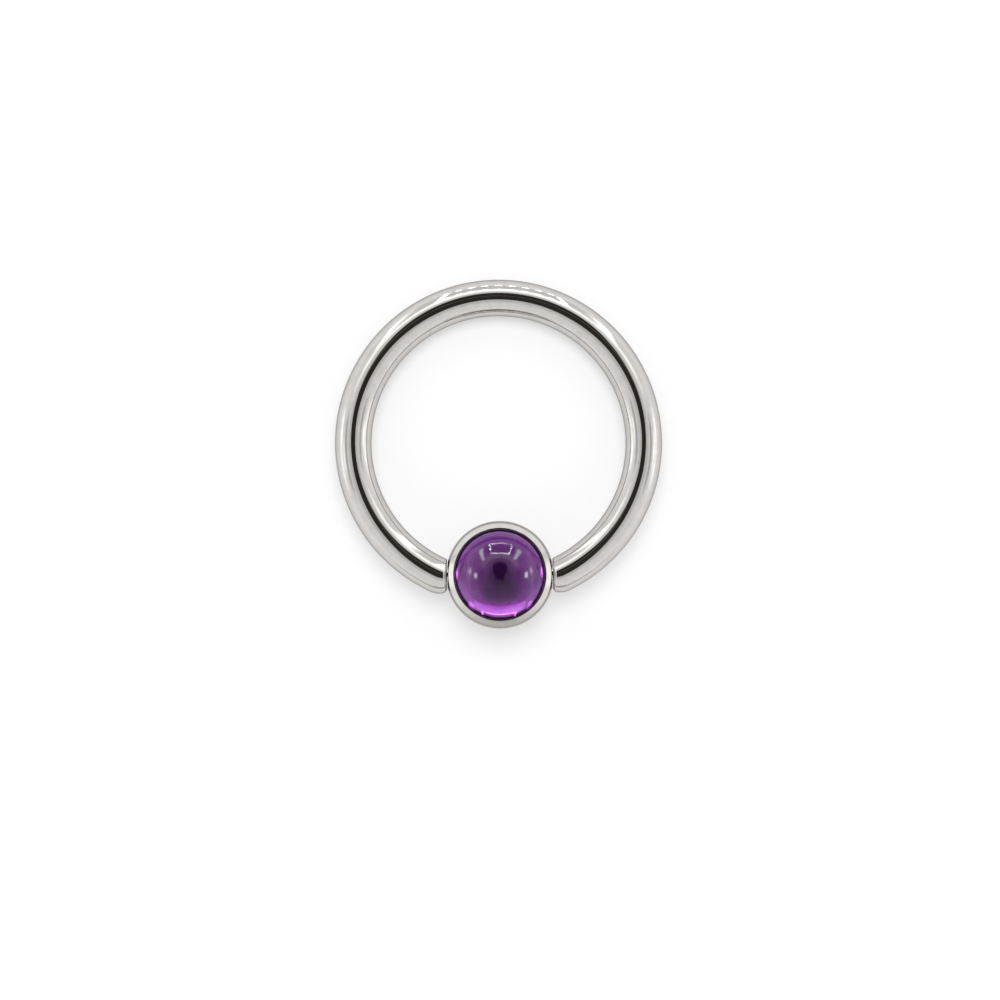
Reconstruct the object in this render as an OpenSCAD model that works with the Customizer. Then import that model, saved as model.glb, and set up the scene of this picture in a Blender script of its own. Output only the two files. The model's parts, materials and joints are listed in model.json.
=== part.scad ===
// Captive bead ring: an open wire hoop whose two ends hold a swivelling bead set with a round cabochon.
// Millimetres, +Z up. The ring lies on the ground as it would by itself, bead towards -Y, stone upwards.

/* [Hoop] */
// Thickness of the hoop's wire, 14 gauge
wire_d = 1.6; // [1.4:0.1:2]
// Clear diameter inside the hoop
hoop_inner_d = 11.1; // [9.6:0.1:15.9]

/* [Wire ends] */
// How far each flat wire end sits inside the bead's round outline
end_seat = 0.05; // [0.02:0.01:0.08]
// Rounding of the edge of each wire end, all round but for its inner side
end_round = 0.18; // [0.1:0.01:0.2]
// Rounding of that edge at the inner side, towards the hoop's middle
inner_round = 0.04; // [0.02:0.01:0.1]
// How much the outer side of each wire end is drawn in at its face
end_relief = 0.27; // [0.1:0.01:0.3]
// Length of the drawn in stretch, across the ring
relief_w = 0.75; // [0.5:0.05:1]
// Diameter of the low round nose on each wire end that the bead turns on
nose_d = 0.84; // [0.7:0.02:0.88]
// Height of that nose in all
nose_h = 0.2; // [0.16:0.01:0.22]
// Height of its straight neck, under the domed tip
neck_h = 0.06; // [0.04:0.01:0.08]

/* [Bead] */
// How far the bead's middle lies inside the wire's centre line
bead_inset = 0.16; // [0.1:0.01:0.22]
// Height of the rim's outer crease above the bead's middle
rim_z = 0.68; // [0.6:0.01:0.74]
// Thickness of the rim's wall round the stone, which sets how large the ball is
rim_wall = 0.22; // [0.2:0.01:0.5]
// Height of the rim's upright wall above the crease
step_h = 0.12; // [0.08:0.01:0.16]
// Width of the flat land on top of the rim
land_w = 0.078; // [0.05:0.002:0.1]
// How far the land reaches over the stone's edge
lip_reach = 0.045; // [0.03:0.005:0.08]
// Thickness of the rim where it ends over the stone
lip_h = 0.04; // [0.03:0.005:0.06]
// Height of the stone pocket's floor above the bead's middle
pocket_z = 0.27; // [0.25:0.01:0.32]

/* [Stone] */
// Diameter of the cabochon
stone_d = 4; // [3:0.5:6]
// Height of the dome above the straight edge
dome_h = 1.46; // [1.1:0.02:1.48]
// Height of the straight edge under the dome
girdle_h = 0.4; // [0.34:0.01:0.42]
// Bevel round the cabochon's flat back
base_bevel = 0.06; // [0.03:0.01:0.08]

/* [Fits] */
// Gap between the cabochon and its pocket
stone_gap = 0.03; // [0.02:0.005:0.05]
// Running gap between the wire ends and the bead
swivel_gap = 0.03; // [0.02:0.005:0.04]

/* [Hidden] */

// Smoothness of the round surfaces
round_fn = 120;
// Sides round the wire at its shaped ends
end_sides = 40;
// Rings along the stretch from the arc to the rounded edge
end_steps = 6;
// Rings round the rounded edge
edge_steps = 6;
// Least length of plain wire left at the inner side between the arc and the rounded edge
edge_clear = 0.1;
// How deep the shaped end is rooted in the arc, in degrees
root_turn = 3;
// The thickness of its root, as a share of the wire's
root_share = 0.8;
// It leaves the arc this much thinner, and is flush this many degrees to either side of the arc's end
root_step = 0.016;
flush_turn = 0.4;
// How deep the nose is rooted in the wire's end
nose_root = 0.15;

// The bead and its rim, as seen from the bead's middle
stone_r = stone_d / 2;
pocket_r = stone_r + stone_gap;
crease_r = pocket_r + rim_wall;
ball_r = norm([crease_r, rim_z]);

// The wire and where it ends
wire_r = wire_d / 2;
hoop_r = (hoop_inner_d + wire_d) / 2;
face_x = ball_r - end_seat;
bead_y = sqrt(pow(hoop_r, 2) - pow(face_x, 2)) - bead_inset;

// Angles at the hoop's middle, counted from the bead's side
relief_start = asin((face_x + relief_w) / (hoop_r + wire_r));
relief_end = asin(face_x / (hoop_r + wire_r));
inner_start = asin((face_x + end_round + edge_clear) / (hoop_r - wire_r));
arc_end = max(relief_start, inner_start) + flush_turn;

// The nose's domed tip, and where its middle lies from the wire's end, towards the wire
tip_h = nose_h - neck_h;
tip_r = (pow(nose_d / 2, 2) + pow(tip_h, 2)) / (2 * tip_h);
tip_x = tip_r - nose_h;

// The stone's dome, its levels and the rim that holds it, above the bead's middle
dome_r = (pow(stone_r, 2) + pow(dome_h, 2)) / (2 * dome_h);
base_z = pocket_z + stone_gap;
girdle_z = base_z + base_bevel + girdle_h;
dome_z = girdle_z + dome_h - dome_r;
lip_r = stone_r - lip_reach;
land_r = lip_r + land_w;
land_z = dome_z + sqrt(pow(dome_r + stone_gap, 2) - pow(lip_r, 2)) + lip_h;

// The ring rests on the bead's back and on the far side of the wire
lean = asin((ball_r - wire_r) / (bead_y + hoop_r));
rest_z = wire_r + hoop_r * sin(lean);
rest_y = (bead_y * cos(lean) + ball_r - hoop_r * cos(lean) - wire_r) / 2;

// Lays the ring, drawn flat about its own middle, on the ground
module lie_down()
{
    translate([0, rest_y, rest_z])
        rotate([-lean, 0, 0])
            children();
}

// A point of the wire's surface where the wire is cut square, at an angle from the bead's side
function square_point(turn, side, thick) =
    let (reach = hoop_r + thick * cos(side))
    [reach * sin(turn), -reach * cos(turn), thick * sin(side)];

// Rounding of the end's edge at one side of the wire: 0 is the outer side, 180 the inner one
function edge_size(side) =
    inner_round + (end_round - inner_round) * min(1, 1.2 * (1 + cos(side)));

// How far the rounded edge draws the surface in, at a distance from the end face
function edge_draw(from_face, size) =
    from_face >= size ? 0
    : size - sqrt(pow(size, 2) - pow(size - from_face, 2));

// How far the outer side is drawn in, at an angle from the bead's side
function relief_draw(turn, side) =
    let (share = max(0, relief_start - turn) / (relief_start - relief_end))
    end_relief * pow(share, 2) * pow((1 + cos(side)) / 2, 2);

// A point of the wire's surface where the wire is cut parallel to its end face
function face_point(from_face, side) =
    let (x = face_x + from_face)
    let (reach = hoop_r + wire_r * cos(side))
    let (turn = asin(x / reach))
    let (out = [-cos(turn) * cos(side), sin(side)])
    let (draw = relief_draw(turn, side) + edge_draw(from_face, edge_size(side)))
    let (shift = out * draw / norm(out))
    [x, -reach * cos(turn) - shift[0], wire_r * sin(side) - shift[1]];

// A point between the last square cut and the rounded edge, at a share of the way
function blend_point(share, side) =
    let (start = (hoop_r + wire_r * cos(side)) * sin(arc_end - flush_turn) - face_x)
    face_point(start + (edge_size(side) - start) * share, side);

// One ring of surface points for each cut through the shaped end
function end_rings() =
    let (sides = [for (i = [0 : end_sides - 1]) 360 * i / end_sides])
    concat(
        [[for (s = sides) square_point(arc_end + root_turn, s, wire_r * root_share)]],
        [[for (s = sides) square_point(arc_end + flush_turn, s, wire_r - root_step)]],
        [for (k = [0 : end_steps]) [for (s = sides) blend_point(k / end_steps, s)]],
        [for (k = [1 : edge_steps])
            [for (s = sides) face_point(edge_size(s) * (1 - sin(90 * k / edge_steps)), s)]]
    );

// Faces between neighbouring rings, with one flat face at each end
function end_faces(count) =
    let (n = end_sides)
    concat(
        [[for (i = [0 : n - 1]) i]],
        [[for (i = [n - 1 : -1 : 0]) (count - 1) * n + i]],
        [for (k = [0 : count - 2]) for (i = [0 : n - 1])
            let (j = (i + 1) % n)
            each [[k * n + i, (k + 1) * n + i, k * n + j], [k * n + j, (k + 1) * n + i, (k + 1) * n + j]]]
    );

// The shaped end of the wire, with its rounded edge and the relief on its outer side
module wire_end()
{
    rings = end_rings();
    polyhedron(points = [for (ring = rings) each ring], faces = end_faces(len(rings)), convexity = 4);
}

// A round nose, grown by a gap, that points down from the height of the wire's end face
module nose(grow, root)
{
    rotate_extrude($fn = round_fn)
        intersection() {
            translate([0, tip_x])
                circle(r = tip_r + grow, $fn = round_fn);
            translate([0, -nose_h - grow])
                square([nose_d / 2 + grow, nose_h + grow + root]);
        }
}

// The nose in the middle of a wire end
module end_nose()
{
    translate([face_x, -bead_y, 0])
        rotate([0, 90, 0])
            nose(0, nose_root);
}

// The round wire all the way from one shaped end to the other
module wire_arc()
{
    rotate([0, 0, arc_end - 90])
        rotate_extrude(angle = 360 - 2 * arc_end, $fn = round_fn * 2)
            translate([hoop_r, 0])
                circle(r = wire_r, $fn = round_fn);
}

module hoop()
{
    color("#c8c5c1")
        lie_down()
            union() {
                wire_arc();
                for (way = [0, 1])
                    mirror([way, 0, 0]) {
                        wire_end();
                        end_nose();
                    }
            }
}

// Half of the setting's section: the ball up to the crease, and the rim that closes over the stone
module setting_section()
{
    difference() {
        union() {
            intersection() {
                circle(r = ball_r, $fn = round_fn);
                translate([0, -ball_r])
                    square([ball_r, ball_r + rim_z]);
            }
            polygon([
                [lip_r, 0],
                [crease_r, 0],
                [crease_r, rim_z + step_h],
                [land_r, land_z],
                [lip_r, land_z]
            ]);
        }
        translate([-stone_r, pocket_z])
            square([stone_r + pocket_r, girdle_z - pocket_z]);
        intersection() {
            translate([0, dome_z])
                circle(r = dome_r + stone_gap, $fn = round_fn * 2);
            translate([-stone_r, girdle_z - stone_gap])
                square([3 * stone_r, 2 * dome_r]);
        }
    }
}

// The hollow that one wire end's nose turns in, and the flat that its face runs against
module dimple()
{
    translate([face_x, 0, 0])
        rotate([0, 90, 0])
            nose(swivel_gap, 0);
    translate([face_x - swivel_gap, 0, 0])
        rotate([0, 90, 0])
            cylinder(r = wire_r, h = wire_d, $fn = round_fn);
}

module bead_setting()
{
    color("#c8c5c1")
        lie_down()
            translate([0, -bead_y, 0])
                difference() {
                    rotate_extrude($fn = round_fn)
                        setting_section();
                    for (way = [0, 1])
                        mirror([way, 0, 0])
                            dimple();
                }
}

// Half of the stone's section: flat bevelled back, straight edge and dome
module cabochon_section()
{
    polygon([
        [0, base_z],
        [stone_r - base_bevel, base_z],
        [stone_r, base_z + base_bevel],
        [stone_r, girdle_z],
        [0, girdle_z]
    ]);
    intersection() {
        translate([0, dome_z])
            circle(r = dome_r, $fn = round_fn * 2);
        translate([0, girdle_z - base_bevel])
            square([stone_r, 2 * dome_r]);
    }
}

module cabochon()
{
    color("#7a3fa0")
        lie_down()
            translate([0, -bead_y, 0])
                rotate_extrude($fn = round_fn)
                    cabochon_section();
}

hoop();
bead_setting();
cabochon();
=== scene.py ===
import json
import math
import bmesh
import bpy
from mathutils import Matrix, Vector


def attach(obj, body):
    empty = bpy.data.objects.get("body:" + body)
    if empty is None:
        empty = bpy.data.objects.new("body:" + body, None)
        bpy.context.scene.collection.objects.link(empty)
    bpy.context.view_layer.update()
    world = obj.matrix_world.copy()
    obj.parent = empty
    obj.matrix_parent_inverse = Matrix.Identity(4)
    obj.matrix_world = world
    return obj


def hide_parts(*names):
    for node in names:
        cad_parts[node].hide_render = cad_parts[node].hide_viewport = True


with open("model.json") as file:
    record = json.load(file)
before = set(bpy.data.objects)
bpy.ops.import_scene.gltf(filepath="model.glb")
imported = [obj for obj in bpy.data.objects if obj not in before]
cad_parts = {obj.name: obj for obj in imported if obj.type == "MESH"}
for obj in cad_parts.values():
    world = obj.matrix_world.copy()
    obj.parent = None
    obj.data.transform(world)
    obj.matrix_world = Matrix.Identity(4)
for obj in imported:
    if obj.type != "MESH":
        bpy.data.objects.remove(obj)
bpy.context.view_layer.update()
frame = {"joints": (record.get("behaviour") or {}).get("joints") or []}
print("captive bead ring: the packed model is in")

mm = 0.001


# Node trees, with sums written as plain expressions

class Wire:  # one output of a node
    def __init__(self, graph, socket):
        self.graph = graph
        self.socket = socket

    def math(self, operation, *others):
        return self.graph.add("ShaderNodeMath", {"operation": operation}, [self, *others])

    def other(self, name):  # another output of the same node
        return Wire(self.graph, self.socket.node.outputs[name])

    def __add__(self, value):
        return self.math("ADD", value)

    def __radd__(self, value):
        return self.math("ADD", value)

    def __sub__(self, value):
        return self.math("SUBTRACT", value)

    def __rsub__(self, value):
        return self.graph.add("ShaderNodeMath", {"operation": "SUBTRACT"}, [value, self])

    def __mul__(self, value):
        return self.math("MULTIPLY", value)

    def __rmul__(self, value):
        return self.math("MULTIPLY", value)

    def __truediv__(self, value):
        return self.math("DIVIDE", value)

    def __rtruediv__(self, value):
        return self.graph.add("ShaderNodeMath", {"operation": "DIVIDE"}, [value, self])

    def __neg__(self):
        return self.math("MULTIPLY", -1.0)

    def __abs__(self):
        return self.math("ABSOLUTE")


class Graph:  # a node tree that grows by one method
    def __init__(self, tree):
        self.tree = tree

    def add(self, kind, settings=None, inputs=None, output=0):
        node = self.tree.nodes.new(kind)
        for name, value in (settings or {}).items():
            setattr(node, name, value)
        pairs = inputs.items() if isinstance(inputs, dict) else enumerate(inputs or [])
        for key, value in pairs:
            if isinstance(value, Wire):
                self.tree.links.new(value.socket, node.inputs[key])
            else:
                node.inputs[key].default_value = value
        return Wire(self, node.outputs[output]) if node.outputs else node

    def sine(self, angle):
        return angle.math("SINE")

    def cosine(self, angle):
        return angle.math("COSINE")

    def root(self, value):
        return value.math("SQRT")

    def most(self, value, other):
        return value.math("MAXIMUM", other)

    def least(self, value, other):
        return value.math("MINIMUM", other)

    def share(self, value, low, high):  # 0 up to low, 1 from high on, straight between
        return self.add("ShaderNodeMapRange", {"clamp": True}, {0: value, 1: low, 2: high})

    def ease(self, value, low, high):  # the same with soft ends
        settings = {"interpolation_type": "SMOOTHSTEP"}
        return self.add("ShaderNodeMapRange", settings, {0: value, 1: low, 2: high})

    def zone(self, value, start, full, leave, end):  # 1 between full and leave, and 0 past the ends
        return self.ease(value, start, full) * (1 - self.ease(value, leave, end))

    def dot(self, vector, axis):
        settings = {"operation": "DOT_PRODUCT"}
        return self.add("ShaderNodeVectorMath", settings, {0: vector, 1: axis}, "Value")

    def parts(self, vector):
        x = self.add("ShaderNodeSeparateXYZ", None, [vector])
        return x, x.other("Y"), x.other("Z")

    def vector(self, x, y, z):
        return self.add("ShaderNodeCombineXYZ", None, [x, y, z])

    def mixColours(self, factor, first, second):
        settings = {"data_type": "RGBA"}
        return self.add("ShaderNodeMix", settings, {0: factor, 6: first, 7: second}, 2)

    def noise(self, where, scale, detail):
        values = {"Vector": where, "Scale": scale, "Detail": detail}
        return self.add("ShaderNodeTexNoise", None, values)


# The sizes that place the pieces: the ring lies on the bead's back and on the far side of the wire

ringSizes = {
    "wireD": 1.6,  # millimetres, 14 gauge
    "innerD": 11.1,
    "endSeat": 0.05,  # each flat end sits this far inside the bead's outline
    "beadInset": 0.16,  # the bead's middle lies this far inside the wire's centre line
}

beadMiddle = Vector(frame["joints"][0]["pos_m"])
ballR = beadMiddle.z / mm
wireR = ringSizes["wireD"] / 2
hoopR = (ringSizes["innerD"] + ringSizes["wireD"]) / 2
faceX = ballR - ringSizes["endSeat"]
beadY = math.sqrt(hoopR ** 2 - faceX ** 2) - ringSizes["beadInset"]
lean = math.asin((ballR - wireR) / (beadY + hoopR))
turnDown = Matrix.Rotation(-lean, 4, "X")
hoopMiddle = beadMiddle + turnDown @ Vector((0, beadY * mm, 0))


# Camera: the photograph's, over the stone and a little towards the hoop's far side

cameraLook = {
    "tilt": -1.5,  # degrees from the hoop's own axis, towards its far side
    "lens": 200.0,  # millimetres
    "sensor": 36.0,
    "frame": 1000,  # pixels
    "scale": 22.87,  # pixels of the photograph to a millimetre
    "hoopPixel": (498.5, 443.0),  # where the hoop's middle shows
    "roll": 0.6,  # degrees that the ring appears turned, its bead towards the right
}


def makeCamera(look):
    tilt = lean + math.radians(look["tilt"])
    roll = math.radians(look["roll"])
    level = Vector((1, 0, 0))
    steep = Vector((0, math.cos(tilt), -math.sin(tilt)))
    back = Vector((0, math.sin(tilt), math.cos(tilt)))
    right = level * math.cos(roll) - steep * math.sin(roll)
    up = steep * math.cos(roll) + level * math.sin(roll)
    half = look["frame"] / 2
    across = (half - look["hoopPixel"][0]) / look["scale"] * mm
    down = (half - look["hoopPixel"][1]) / look["scale"] * mm
    target = hoopMiddle + right * across - up * down
    distance = look["frame"] / look["scale"] * look["lens"] / look["sensor"] * mm
    data = bpy.data.cameras.new("photoCamera")
    data.lens = look["lens"]
    data.sensor_width = look["sensor"]
    data.clip_start = 0.01
    data.clip_end = 20.0
    camera = bpy.data.objects.new("photoCamera", data)
    axes = Matrix((right, up, back)).transposed().to_4x4()
    camera.matrix_world = Matrix.Translation(target + back * distance) @ axes
    bpy.context.scene.collection.objects.link(camera)
    bpy.context.scene.camera = camera
    return right, up, back


pictureRight, pictureUp, pictureBack = makeCamera(cameraLook)
print("camera is up")


# Materials

def newMaterial(name):
    material = bpy.data.materials.new(name)
    material.use_nodes = True
    material.node_tree.nodes.clear()
    return material, Graph(material.node_tree)


def ringSpace(graph, middle):  # a point as the piece lies flat about that middle, in millimetres
    settings = {"vector_type": "TEXTURE"}
    where = graph.add("ShaderNodeTexCoord", None, None, "Object")
    values = {0: where, 1: middle, 2: (-lean, 0, 0), 3: (mm, mm, mm)}
    return graph.add("ShaderNodeMapping", settings, values)


metalLook = {
    "light": (0.620, 0.606, 0.590, 1),
    "dull": (0.575, 0.560, 0.542, 1),
    "edge": (0.46, 0.45, 0.44, 1),  # what is left of the shine where the surface turns away
    "roughness": (0.035, 0.085),  # at the brightest and at the dullest places
    "lines": 0.05,  # strength of the fine polishing lines
    "lineDepth": 0.002,  # millimetres
    "waves": 0.10,  # strength of the soft unevenness left by the buffing wheel
    "waveDepth": 0.02,
}


wireGrain = {"lines": 26.0, "along": 1.5, "waves": 0.9, "patches": 2.4}  # how often each pattern changes
beadGrain = {"lines": 16.0, "waves": 1.3, "patches": 3.0}


def metalPatterns(graph, place, drawn, grain):  # fine lines along the turning, soft waves and dull patches
    return (
        graph.noise(drawn, 1.0, 2.0),
        graph.noise(place, grain["waves"], 1.0),
        graph.noise(place, grain["patches"], 3.0),
    )


def polishedWire(look, grain):
    material, graph = newMaterial("polishedWire")
    place = ringSpace(graph, hoopMiddle)
    x, y, z = graph.parts(place)
    turn = x.math("ARCTAN2", y)  # its jump lies in the gap that the bead fills
    out = graph.root(x * x + y * y) - hoopR
    drawn = graph.vector(out * grain["lines"], z * grain["lines"], turn * grain["along"])
    return finishMetal(material, graph, look, metalPatterns(graph, place, drawn, grain))


pocketLook = {
    "radius": 2.034,  # millimetres, just outside the pocket's wall
    "levels": (0.20, 0.25, 0.955, 0.965),  # heights between which the pocket lies, with soft ends
    # painted light: the pocket's floor is much lighter than the rest of the metal, which brightens the glow
    # seen through the stone; the wall keeps about the metal's own colour
    "floor": (0.80, 0.785, 0.77, 1),
    "wall": (0.60, 0.585, 0.57, 1),
    "turn": (0.29, 0.30),  # heights between which the floor's painted lighter colour gives way to the wall's
    "matt": 0.35,  # roughness of the floor's middle
    "bright": 0.08,  # and of its outer part
    "blend": (0.7, 1.3),  # from one to the other, in millimetres from the middle
    "seam": 0.003,  # half the width of the change to the rim's metal
}


def polishedBead(look, grain, pocket):
    material, graph = newMaterial("polishedBead")
    place = ringSpace(graph, beadMiddle)
    x, y, z = graph.parts(place)
    out = graph.root(x * x + y * y)
    drawn = graph.vector(out * grain["lines"], z * grain["lines"], 0.0)
    seam = pocket["seam"]
    inside = 1 - graph.ease(out, pocket["radius"] - seam, pocket["radius"] + seam)
    inside = inside * graph.zone(z, *pocket["levels"])
    # the pocket's colour: the floor's painted light, then the wall's colour
    shade = graph.mixColours(graph.ease(z, *pocket["turn"]), pocket["floor"], pocket["wall"])
    matt = pocket["matt"] + graph.ease(out, *pocket["blend"]) * (pocket["bright"] - pocket["matt"])
    patterns = metalPatterns(graph, place, drawn, grain)
    return finishMetal(material, graph, look, patterns, (inside, shade, matt))


def finishMetal(material, graph, look, patterns, pocketLitColourAndFinish=None):
    lines, waves, patches = patterns
    colour = graph.mixColours(graph.ease(patches, 0.35, 0.75), look["light"], look["dull"])
    low, high = look["roughness"]
    roughness = low + graph.ease(patches, 0.3, 0.8) * (high - low)
    if pocketLitColourAndFinish:
        inside, shade, matt = pocketLitColourAndFinish
        # inside the pocket: the floor's painted lighter colour, the wall's colour and the pocket's own
        # roughness
        colour = graph.mixColours(inside, colour, shade)
        roughness = roughness * (1 - inside) + inside * matt
    values = {"Strength": look["waves"], "Distance": look["waveDepth"] * mm, "Height": waves}
    bumped = graph.add("ShaderNodeBump", None, values)
    depth = look["lineDepth"] * mm
    values = {"Strength": look["lines"], "Distance": depth, "Height": lines, "Normal": bumped}
    bumped = graph.add("ShaderNodeBump", None, values)
    values = {
        "Base Color": colour, "Metallic": 1.0, "Roughness": roughness, "Normal": bumped,
        "Specular Tint": look["edge"],
    }
    surface = graph.add("ShaderNodeBsdfPrincipled", None, values)
    graph.add("ShaderNodeOutputMaterial", None, {"Surface": surface})
    return material


stoneLook = {
    "ior": 1.544,
    "clear": (1.0, 1.0, 1.0, 1),
    "veil": (0.80, 0.70, 0.88, 1),  # where the crystal's colour is stronger
    "absorbed": (0.53, 0.07, 0.64, 1),  # what is left of white light
    "density": 1000.0,  # to the metre
}


def amethyst(look):
    material, graph = newMaterial("amethyst")
    x, y, z = graph.parts(ringSpace(graph, beadMiddle))
    bands = graph.vector(x * 0.5 + y * 0.3, y * 0.8, z * 0.5)
    zones = graph.noise(bands, 1.2, 1.0)
    colour = graph.mixColours(graph.ease(zones, 0.4, 0.65), look["clear"], look["veil"])
    values = {"Base Color": colour, "Roughness": 0.0, "IOR": look["ior"], "Transmission Weight": 1.0}
    surface = graph.add("ShaderNodeBsdfPrincipled", None, values)
    values = {"Color": look["absorbed"], "Density": look["density"]}
    inside = graph.add("ShaderNodeVolumeAbsorption", None, values)
    graph.add("ShaderNodeOutputMaterial", None, {"Surface": surface, "Volume": inside})
    return material


wireMetal = polishedWire(metalLook, wireGrain)
beadMetal = polishedBead(metalLook, beadGrain, pocketLook)
stoneCrystal = amethyst(stoneLook)
print("materials are mixed")


# The hoop: one surface of rings round the wire, from the nose on one end to the nose on the other

hoopLook = {
    "Hoop Radius": hoopR,
    "Wire Radius": wireR,
    "Face X": faceX,
    "Bead Y": beadY,
    "End Round": 0.18,
    "Inner Round": 0.04,
    "End Relief": 0.27,
    "Relief Width": 0.75,
    "Nose Radius": 0.42,
    "Neck Height": 0.06,
    "Dome Height": 0.14,
}

edgeClear = 0.1  # least plain wire between the arc and the rounded edge, at the inner side
hoopRings = {"arc": 210, "blend": 36, "edge": 10, "face": 2, "neck": 1, "dome": 8}
hoopSides = 128


def hoopTree(look, rings, sides, material):
    tree = bpy.data.node_groups.new("hoopWire", "GeometryNodeTree")
    tree.interface.new_socket("Geometry", in_out="OUTPUT", socket_type="NodeSocketGeometry")
    for name in look:
        tree.interface.new_socket(name, in_out="INPUT", socket_type="NodeSocketFloat")
    graph = Graph(tree)
    sizes = graph.add("NodeGroupInput")
    wires = [sizes.other(name) for name in look]
    hoop, wire, face, bead, edge, inner, relief, width, nose, neck, dome = wires

    # how far along the wire and round it each point lies
    half = sum(rings.values())
    values = [1.0, 1.0, 2 * half + 1, sides + 1]
    mesh = graph.add("GeometryNodeMeshGrid", None, values)
    u, v = graph.parts(graph.add("GeometryNodeInputPosition"))[:2]
    side = (v + 0.5) * math.tau
    station = (u + 0.5) * (2 * half) - half
    way = station.math("SIGN")
    shares = {}
    start = 0
    for name, count in rings.items():
        shares[name] = graph.share(abs(station), start, start + count)
        start += count

    # the round wire, then cuts parallel to its end face
    lift = graph.cosine(side)
    reach = hoop + wire * lift
    reliefStart = ((face + width) / (hoop + wire)).math("ARCSINE")
    reliefEnd = (face / (hoop + wire)).math("ARCSINE")
    innerStart = ((face + edge + edgeClear) / (hoop - wire)).math("ARCSINE")
    arcEnd = graph.most(reliefStart, innerStart)
    startX = reach * graph.sine(arcEnd)
    alpha = shares["edge"] * (math.pi / 2)
    rounding = inner + (edge - inner) * graph.least((lift + 1) * 1.2, 1.0)
    x = startX + (face + rounding - startX) * shares["blend"] - rounding * graph.sine(alpha)
    turn = (math.pi - arcEnd) * (1 - shares["arc"]) + (x / reach).math("ARCSINE")

    # the rounded edge and the relief on the outer side draw the surface in
    fromEdge = graph.least(graph.most(rounding - (x - face), 0.0), rounding)
    edgeDraw = rounding - graph.root(rounding * rounding - fromEdge * fromEdge)
    near = graph.most(reliefStart - turn, 0.0) / (reliefStart - reliefEnd)
    outer = (lift + 1) * 0.5
    draw = edgeDraw + relief * near * near * outer * outer
    outY = -graph.cosine(turn) * lift
    outZ = graph.sine(side)
    size = graph.root(outY * outY + outZ * outZ)
    bodyX = reach * graph.sine(turn)
    bodyY = -reach * graph.cosine(turn) - outY / size * draw
    bodyZ = wire * outZ - outZ / size * draw

    # the nose: a short neck with a low dome on it, on the bead's axis
    tipR = (nose * nose + dome * dome) / (2 * dome)
    rim = (nose / tipR).math("ARCSINE")
    beta = rim * (1 - shares["dome"])
    noseR = tipR * graph.sine(beta)
    noseOut = neck * shares["neck"] + tipR * graph.cosine(beta) - (tipR - dome)
    onFace = shares["face"]
    px = bodyX - noseOut
    py = bodyY + (-bead - noseR * lift - bodyY) * onFace
    pz = bodyZ + (noseR * outZ - bodyZ) * onFace
    place = graph.vector(px * way, py, pz)

    mesh = graph.add("GeometryNodeSetPosition", None, {"Geometry": mesh, "Position": place})
    mesh = graph.add("GeometryNodeMergeByDistance", None, {"Geometry": mesh, "Distance": 0.0002})
    values = {
        "Geometry": mesh, "Translation": hoopMiddle, "Rotation": (-lean, 0, 0), "Scale": (mm, mm, mm),
    }
    mesh = graph.add("GeometryNodeTransform", None, values)
    mesh = graph.add("GeometryNodeSetShadeSmooth", None, {"Geometry": mesh})
    mesh = graph.add("GeometryNodeRealizeInstances", None, {"Geometry": mesh})
    mesh = graph.add("GeometryNodeSetMaterial", None, {"Geometry": mesh, "Material": material})
    graph.add("NodeGroupOutput", None, {"Geometry": mesh})
    return tree


def runTree(name, tree, values):  # the tree's result as a plain mesh
    carrier = bpy.data.objects.new(name + "Tree", bpy.data.meshes.new(name + "Tree"))
    bpy.context.scene.collection.objects.link(carrier)
    modifier = carrier.modifiers.new("tree", "NODES")
    modifier.node_group = tree
    for item in tree.interface.items_tree:
        if item.in_out == "INPUT" and item.name in values:
            modifier[item.identifier] = values[item.name]
    carrier.update_tag()
    return settle(name, carrier)


def settle(name, carrier):  # what the modifiers make, as an object of its own, with faces outwards
    depsgraph = bpy.context.evaluated_depsgraph_get()
    mesh = bpy.data.meshes.new_from_object(carrier.evaluated_get(depsgraph))
    mesh.name = name
    carrier.modifiers.clear()
    bpy.data.objects.remove(carrier)
    turnOutwards(mesh)
    piece = bpy.data.objects.new(name, mesh)
    bpy.context.scene.collection.objects.link(piece)
    return piece


def turnOutwards(mesh):
    soup = bmesh.new()
    soup.from_mesh(mesh)
    bmesh.ops.recalc_face_normals(soup, faces=soup.faces)
    soup.to_mesh(mesh)
    soup.free()


def shade(piece, angle):  # smooth, with a sharp edge wherever two faces turn by more than that
    piece.data.shade_smooth()
    piece.data.set_sharp_from_angle(angle=math.radians(angle))


hoopWire = runTree("hoopWire", hoopTree(hoopLook, hoopRings, hoopSides, wireMetal), hoopLook)
shade(hoopWire, 35)
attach(hoopWire, "ring")
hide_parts("hoop")
print("hoop is made:", len(hoopWire.data.polygons), "faces")


# Turned pieces: the bead's setting and its stone

def arc(middle, radius, start, end, steps):  # points on an arc, with angles in radians
    turns = [start + (end - start) * k / steps for k in range(steps + 1)]
    return [(middle[0] + radius * math.cos(t), middle[1] + radius * math.sin(t)) for t in turns]


def line(start, end, steps):
    shares = [k / steps for k in range(steps + 1)]
    return [(start[0] + (end[0] - start[0]) * s, start[1] + (end[1] - start[1]) * s) for s in shares]


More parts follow.
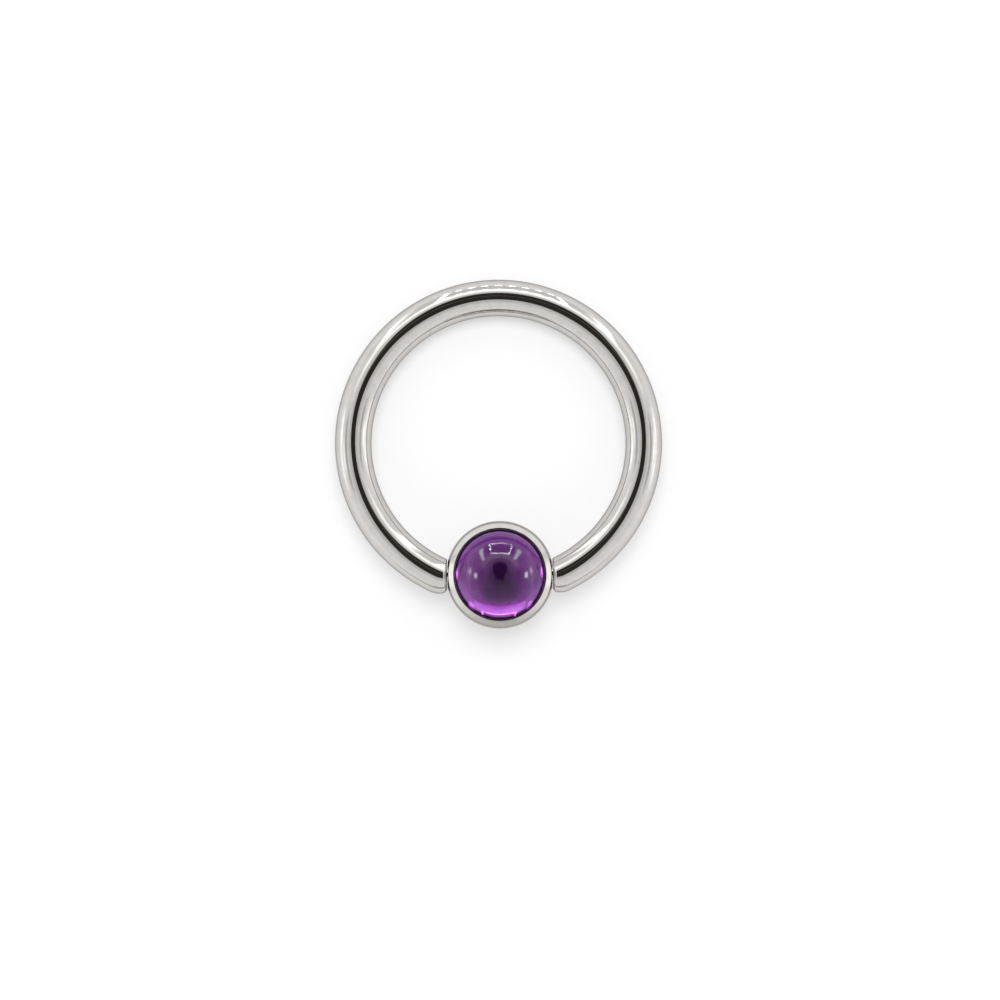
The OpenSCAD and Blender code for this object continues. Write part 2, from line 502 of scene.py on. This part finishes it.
def lathe(name, profile, segments, tall):  # turns radii and heights round the axis that tall gives
    mesh = bpy.data.meshes.new(name)
    soup = bmesh.new()
    rings = []
    for radius, height in profile:
        if radius < 1e-6:
            rings.append([soup.verts.new(tall(0, 0, height))])
        else:
            turns = [math.tau * k / segments for k in range(segments)]
            places = [tall(radius * math.cos(t), radius * math.sin(t), height) for t in turns]
            rings.append([soup.verts.new(place) for place in places])
    for low, high in zip(rings, rings[1:]):
        for k in range(segments):
            n = (k + 1) % segments
            corners = [low[k % len(low)], low[n % len(low)], high[n % len(high)], high[k % len(high)]]
            soup.faces.new(list(dict.fromkeys(corners)))
    bmesh.ops.recalc_face_normals(soup, faces=soup.faces)
    soup.to_mesh(mesh)
    soup.free()
    piece = bpy.data.objects.new(name, mesh)
    bpy.context.scene.collection.objects.link(piece)
    return piece


def upright(x, y, z):
    return (x, y, z)


def layDown(mesh):  # from millimetres about the bead's middle to its place
    mesh.transform(Matrix.Translation(beadMiddle) @ turnDown @ Matrix.Scale(mm, 4))


settingLook = {
    "rimZ": 0.68,  # the crease's height above the bead's middle
    "stepH": 0.12,  # the rim's upright wall above the crease
    "landW": 0.078,  # the flat land on top of the rim
    "lipReach": 0.045,  # how far the land reaches over the stone's edge
    "lipH": 0.04,  # the rim's thickness where it ends over the stone
    "soft": 0.015,  # rounding of the rim's edges
    "pocketZ": 0.27,  # the pocket's floor above the bead's middle
    "swivelGap": 0.03,
}

gemLook = {
    "stoneD": 4.0,
    "domeH": 1.46,  # the dome's height above the straight edge
    "girdleH": 0.40,  # the straight edge
    "bevel": 0.06,
    "gap": 0.03,  # between the stone and its pocket
}

turnedSides = 256  # round the bead and the stone
toolSides = 96

stoneR = gemLook["stoneD"] / 2
baseZ = settingLook["pocketZ"] + gemLook["gap"]
girdleZ = baseZ + gemLook["bevel"] + gemLook["girdleH"]
domeR = (stoneR ** 2 + gemLook["domeH"] ** 2) / (2 * gemLook["domeH"])
domeZ = girdleZ + gemLook["domeH"] - domeR


def roundCorner(before, corner, after, radius, steps):
    first = (Vector(corner) - Vector(before)).normalized()
    second = (Vector(after) - Vector(corner)).normalized()
    turn = math.atan2(first.x * second.y - first.y * second.x, first.dot(second))
    start = Vector(corner) - first * radius * math.tan(abs(turn) / 2)
    middle = start + Vector((-first.y, first.x)) * math.copysign(radius, turn)
    angle = math.atan2(start.y - middle.y, start.x - middle.x)
    return arc(middle, radius, angle, angle + turn, steps)


def softPath(corners, radius):  # straight runs between the corners, with all but the ends rounded
    path = [corners[0]]
    for before, corner, after in zip(corners, corners[1:], corners[2:]):
        bend = roundCorner(before, corner, after, radius, 5)
        path += line(path[-1], bend[0], 8)[1:] + bend[1:]
    return path + line(path[-1], corners[-1], 8)[1:]


def settingProfile(look, gem):
    crease = math.asin(look["rimZ"] / ballR)
    creaseR = ballR * math.cos(crease)
    shell = domeR + gem["gap"]
    lipR = stoneR - look["lipReach"]
    underLip = domeZ + math.sqrt(shell ** 2 - lipR ** 2)
    landZ = underLip + look["lipH"]
    pocketR = stoneR + gem["gap"]
    pocketTop = domeZ + math.sqrt(shell ** 2 - pocketR ** 2)
    floorZ = look["pocketZ"]
    rim = [
        (creaseR, look["rimZ"]), (creaseR, look["rimZ"] + look["stepH"]),
        (lipR + look["landW"], landZ), (lipR, landZ), (lipR, underLip),
    ]
    start = math.atan2(underLip - domeZ, lipR)
    end = math.atan2(pocketTop - domeZ, pocketR)
    return (
        arc((0, 0), ballR, -math.pi / 2, crease, 110)
        + softPath(rim, look["soft"])[1:]
        + arc((0, domeZ), shell, start, end, 6)[1:]
        + line((pocketR, pocketTop), (pocketR, floorZ), 4)[1:]
        + line((pocketR, floorZ), (0, floorZ), 8)[1:]
    )


def dimpleProfile(look, hoop):  # a flat to run the wire's end against, and the hollow for its nose
    gap = look["swivelGap"]
    face = faceX - gap
    nose = hoop["Nose Radius"]
    dome = hoop["Dome Height"]
    tipR = (nose ** 2 + dome ** 2) / (2 * dome)
    middle = faceX - hoop["Neck Height"] + tipR - dome
    hollow = nose + gap
    edge = math.acos(hollow / (tipR + gap))
    cap = arc((0, 0), tipR + gap, math.pi / 2, edge, 10)
    points = [(r, middle - z) for r, z in cap]
    return points + [(hollow, face), (wireR, face), (wireR, face + 2 * wireR), (0, face + 2 * wireR)]


def makeSetting(look, gem, hoop, material):
    body = lathe("beadSettingBody", settingProfile(look, gem), turnedSides, upright)
    for way in (1, -1):
        def sideways(x, y, z, way=way):
            return (z * way, x, y)
        tool = lathe("dimpleTool", dimpleProfile(look, hoop), toolSides, sideways)
        cut = body.modifiers.new("dimple", "BOOLEAN")
        cut.object = tool
        cut.solver = "EXACT"
    tools = [modifier.object for modifier in body.modifiers]
    piece = settle("beadSetting", body)
    for tool in tools:
        bpy.data.objects.remove(tool)
    layDown(piece.data)
    piece.data.materials.clear()
    piece.data.materials.append(material)
    return piece


def gemProfile(gem):
    crown = math.atan2(girdleZ - domeZ, stoneR)
    return (
        line((0, baseZ), (stoneR - gem["bevel"], baseZ), 8)
        + [(stoneR, baseZ + gem["bevel"])]
        + line((stoneR, baseZ + gem["bevel"]), (stoneR, girdleZ), 3)[1:]
        + arc((0, domeZ), domeR, crown, math.pi / 2, 60)[1:]
    )


def makeGem(gem, material):
    piece = lathe("cabochonStone", gemProfile(gem), turnedSides, upright)
    layDown(piece.data)
    piece.data.materials.append(material)
    return piece


beadSetting = makeSetting(settingLook, gemLook, hoopLook, beadMetal)
shade(beadSetting, 30)
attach(beadSetting, "bead")
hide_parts("bead_setting")
print("bead setting is made:", len(beadSetting.data.polygons), "faces")

cabochonStone = makeGem(gemLook, stoneCrystal)
shade(cabochonStone, 30)
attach(cabochonStone, "bead")
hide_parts("cabochon")
print("cabochon is made:", len(cabochonStone.data.polygons), "faces")


# Studio: a pale floor inside a light box, whose walls are the world

roomLook = {
    "walls": 0.98,
    "frontDip": 0.28,  # how much dimmer the wall is round the opening
    "band": (0.62, 0.12),  # extra light over the opening, on a wide stretch and on a narrow one
    "panelDip": 0.15,
    "sideDip": 0.38,
    "sideGlow": 0.35,
    "farGlow": 0.15,
    "footDip": 0.45,
    "lineDip": 0.55,
    "lens": 0.06,  # the dark opening that the camera looks through
    "bar": 0.07,  # a little light on a bar across it
    "dots": 30.0,  # the row of small lamps round the ceiling's panel
    "strips": 4.5,  # the soft lights beside the panel
    "inMetal": (0.25, 0.08),  # how much of those lamps, and of the small spots, the metal gives back
    "warm": (1.0, 0.93, 0.86, 1),
    "white": (1.0, 0.995, 0.985, 1),
}

wallZones = {  # degrees from the view where a part of the wall starts, is full, leaves off and ends
    "band": (40.0, 44.0, 52.0, 60.0),
    "dip": (36.0, 42.0, 49.0, 54.0),
    "glow": (62.0, 76.0, 88.0, 98.0),
    "line": (74.0, 77.0, 83.0, 86.0),
}

wallSteps = {  # degrees from the view between which the wall changes
    "front": (17.0, 40.0),
    "panel": (56.0, 61.0),
    "far": (50.0, 85.0),
    "foot": (80.0, 88.0),
}

wallAims = {  # how nearly up, sideways or down in the picture it lies, where 1 is exactly so
    "narrow": (0.80, 0.92),
    "wide": (0.30, 0.60),
    "beside": (0.95, 0.99),
    "foot": (0.5, 1.0),
    "line": (0.86, 0.97),
}

# the small soft lights on the walls: degrees from the view, clockwise from the picture's top, and light
wallSpots = ((60.5, -92, 7.0), (77.5, -83.5, 4.0), (66.5, 90, 9.0), (82, 82, 3.0))
spotSize = (7.0, 10.0)  # degrees, away from the view and round it
spotFade = (0.2, 1.0)


def wallLight(graph, look, angle, rise, sideways):
    narrow = graph.ease(rise, *wallAims["narrow"])
    wide = graph.ease(rise, *wallAims["wide"])
    beside = graph.ease(sideways, *wallAims["beside"])
    wideLight, narrowLight = look["band"]
    band = graph.zone(angle, *wallZones["band"]) * (wide * wideLight + narrow * narrowLight)
    dip = graph.zone(angle, *wallZones["dip"]) * look["sideDip"]
    glow = graph.zone(angle, *wallZones["glow"]) * look["sideGlow"]
    light = look["walls"] - (1 - graph.ease(angle, *wallSteps["front"])) * look["frontDip"]
    light = light + band + beside * (glow - dip)
    light = light - narrow * graph.ease(angle, *wallSteps["panel"]) * look["panelDip"]
    light = light + (1 - wide) * graph.ease(angle, *wallSteps["far"]) * look["farGlow"]

    # the wall's dim foot on the near side, and the brown line above it
    foot = graph.ease(-rise, *wallAims["foot"]) * graph.ease(angle, *wallSteps["foot"])
    brown = graph.ease(-rise, *wallAims["line"]) * graph.zone(angle, *wallZones["line"])
    light = light * (1 - foot * look["footDip"]) * (1 - brown * look["lineDip"])
    return light, brown


openingLook = {  # an egg shape that narrows below, on a plane one unit ahead
    "width": (0.16, 0.31),  # half its width below and above
    "widens": (-0.10, 0.25),
    "side": (-0.03, 0.05),
    "foot": (-0.27, -0.15),
    "top": (0.50, 0.72),
    "arch": 1.2,
    "bar": (0.15, 0.19, 0.23, 0.27),
}


def frontOpening(graph, shape, p, q, ahead):
    low, high = shape["width"]
    width = low + graph.ease(p, *shape["widens"]) * (high - low)
    inside = (1 - graph.ease(q - width, *shape["side"])) * graph.ease(p, *shape["foot"])
    inside = inside * (1 - graph.ease(p + q * q * shape["arch"], *shape["top"])) * ahead
    return inside, graph.zone(p, *shape["bar"])


ceilingLook = {  # places on a plane one unit up, to the right and towards the view
    "middle": (0.03, 0.4215),  # of the box that the small lamps run round
    "half": (0.354, 0.3015),
    "lean": 0.1115,  # how much wider it gets towards the view
    "line": (0.010, 0.030),
    "beat": 75.0,  # how closely the lamps follow each other
    "lit": (-0.4, 0.6),
    "strips": ((-0.69, -0.41), (0.79, 0.16)),  # where each soft strip starts, and how it leans
    "stripEdge": (0.03, 0.22),
    "stripEnds": (0.10, 0.22, 0.98, 1.12),
}


def lampFrame(graph, shape, m, n):  # small lamps along the outline of a rounded box in the ceiling's plane
    middleM, middleN = shape["middle"]
    halfM, halfN = shape["half"]
    dm = abs(m - middleM) - (n * shape["lean"] + halfM)
    dn = abs(n - middleN) - halfN
    outM = graph.most(dm, 0.0)
    outN = graph.most(dn, 0.0)
    corner = graph.root(outM * outM + outN * outN)
    outline = abs(corner + graph.least(graph.most(dm, dn), 0.0))
    onSide = graph.ease(abs(dn) - abs(dm), -0.01, 0.01)
    beat = graph.cosine(m * shape["beat"]) * (1 - onSide) + graph.cosine(n * shape["beat"]) * onSide
    return (1 - graph.ease(outline, *shape["line"])) * graph.ease(beat, *shape["lit"])


def ceilingStrips(graph, shape, m, n):  # two long soft lights beside the panel, which lean outwards
    near, far = shape["stripEdge"]
    left, right = [1 - graph.ease(abs(m - place - n * slant), near, far) for place, slant in shape["strips"]]
    return (left + right) * graph.zone(n, *shape["stripEnds"])


def makeRoom(look):
    world = bpy.data.worlds.new("lightBox")
    world.use_nodes = True
    world.node_tree.nodes.clear()
    graph = Graph(world.node_tree)
    direction = graph.add("ShaderNodeTexCoord", None, None, "Generated")
    up = graph.dot(direction, pictureUp)
    right = graph.dot(direction, pictureRight)
    back = graph.dot(direction, pictureBack)
    away = graph.most(graph.root(graph.most(1 - back * back, 0.0)), 0.001)
    angle = back.math("ARCCOSINE") * (180 / math.pi)
    light, brown = wallLight(graph, look, angle, up / away, abs(right) / away)

    ahead = graph.most(back, 0.001)
    near = graph.ease(back, 0.0, 0.1)
    opening, bar = frontOpening(graph, openingLook, up / ahead, abs(right) / ahead, near)
    light = light * (1 - opening) + (look["lens"] + look["bar"] * bar) * opening

    # the stone mirrors perfectly, but the metal's fine lines spread the small bright lamps
    sharp = graph.add("ShaderNodeLightPath", None, None, "Is Singular Ray")
    lampShare, spotShare = look["inMetal"]
    lamps = lampShare + (1 - lampShare) * sharp
    spots = spotShare + (1 - spotShare) * sharp

    raised = graph.most(up, 0.001)
    m = right / raised
    n = back / raised
    overhead = graph.ease(up, 0.02, 0.05)
    small = lampFrame(graph, ceilingLook, m, n) * look["dots"]
    soft = ceilingStrips(graph, ceilingLook, m, n) * look["strips"]
    light = light + overhead * (small + soft) * lamps

    bearing = right.math("ARCTAN2", up) * (180 / math.pi)
    for tilt, turn, strength in wallSpots:
        across = (angle - tilt) / spotSize[0]
        along = (bearing - turn) / spotSize[1]
        spot = 1 - graph.ease(graph.root(across * across + along * along), *spotFade)
        light = light + spot * strength * spots

    colour = graph.mixColours(graph.most(opening, brown), look["white"], look["warm"])
    surface = graph.add("ShaderNodeBackground", None, {"Color": colour, "Strength": light})
    graph.add("ShaderNodeOutputWorld", None, {"Surface": surface})
    world.cycles.sampling_method = "MANUAL"
    world.cycles.sample_map_resolution = 1024
    bpy.context.scene.world = world


floorLook = {
    "radius": 3.0,  # metres
    "colour": (0.42, 0.42, 0.424, 1),
    "glow": 0.395,
    "grain": 900.0,  # to the metre
}


def makeFloor(look):
    material, graph = newMaterial("paleFloor")
    where = graph.add("ShaderNodeTexCoord", None, None, "Object")
    grain = graph.noise(where, look["grain"], 2.0)
    bumped = graph.add("ShaderNodeBump", None, {"Strength": 0.02, "Distance": 0.01 * mm, "Height": grain})
    values = {
        "Base Color": look["colour"], "Roughness": 0.6, "Specular IOR Level": 0.2, "Normal": bumped,
        "Emission Color": (1, 1, 1, 1), "Emission Strength": look["glow"],
    }
    surface = graph.add("ShaderNodeBsdfPrincipled", None, values)
    graph.add("ShaderNodeOutputMaterial", None, {"Surface": surface})
    mesh = bpy.data.meshes.new("paleFloor")
    soup = bmesh.new()
    bmesh.ops.create_circle(soup, cap_ends=True, segments=96, radius=look["radius"])
    soup.to_mesh(mesh)
    soup.free()
    mesh.materials.append(material)
    floor = bpy.data.objects.new("paleFloor", mesh)
    bpy.context.scene.collection.objects.link(floor)


lampLook = {
    "ceilingPanel": {"place": (0.0, 0.338, 0.282), "size": (0.50, 0.16), "power": 0.50, "inStone": True},
    "topLight": {"place": (0.0, 0.13, 0.38), "size": (0.16, 0.16), "power": 1.15, "inStone": False},
}  # metres and watts; the lamp that shows in the stone lights nothing but the bead


def lightOnly(lamp, pieces):  # and nothing else
    receivers = bpy.data.collections.new(lamp.name + "Receivers")
    for piece in pieces:
        receivers.objects.link(piece)
    lamp.light_linking.receiver_collection = receivers


def makeLamp(name, look):  # a soft panel that lights but isn't mirrored
    data = bpy.data.lights.new(name, "AREA")
    data.shape = "RECTANGLE"
    data.size, data.size_y = look["size"]
    data.energy = look["power"]
    lamp = bpy.data.objects.new(name, data)
    lamp.visible_glossy = False
    lamp.visible_transmission = look["inStone"]
    place = look["place"]
    lamp.location = place
    lamp.rotation_euler = (-Vector(place)).to_track_quat("-Z", "Y").to_euler()
    bpy.context.scene.collection.objects.link(lamp)
    if look["inStone"]:
        lightOnly(lamp, (cabochonStone, beadSetting))


makeRoom(roomLook)
makeFloor(floorLook)
for name, look in lampLook.items():
    makeLamp(name, look)

# how bright the picture's dark parts come out, from how bright they are
darkTones = ((0.045, 0.027), (0.10, 0.088), (0.20, 0.20), (0.50, 0.50))


def setTone(view, points):
    view.view_transform = "Standard"
    view.use_curve_mapping = True
    curve = view.curve_mapping.curves[3]
    for place, value in points:
        curve.points.new(place, value)
    view.curve_mapping.update()


scene = bpy.context.scene
setTone(scene.view_settings, darkTones)
scene.cycles.use_denoising = True
scene.cycles.sample_clamp_indirect = 0.0
scene.cycles.max_bounces = 24
scene.cycles.transmission_bounces = 24
scene.cycles.glossy_bounces = 12
print("studio is lit")
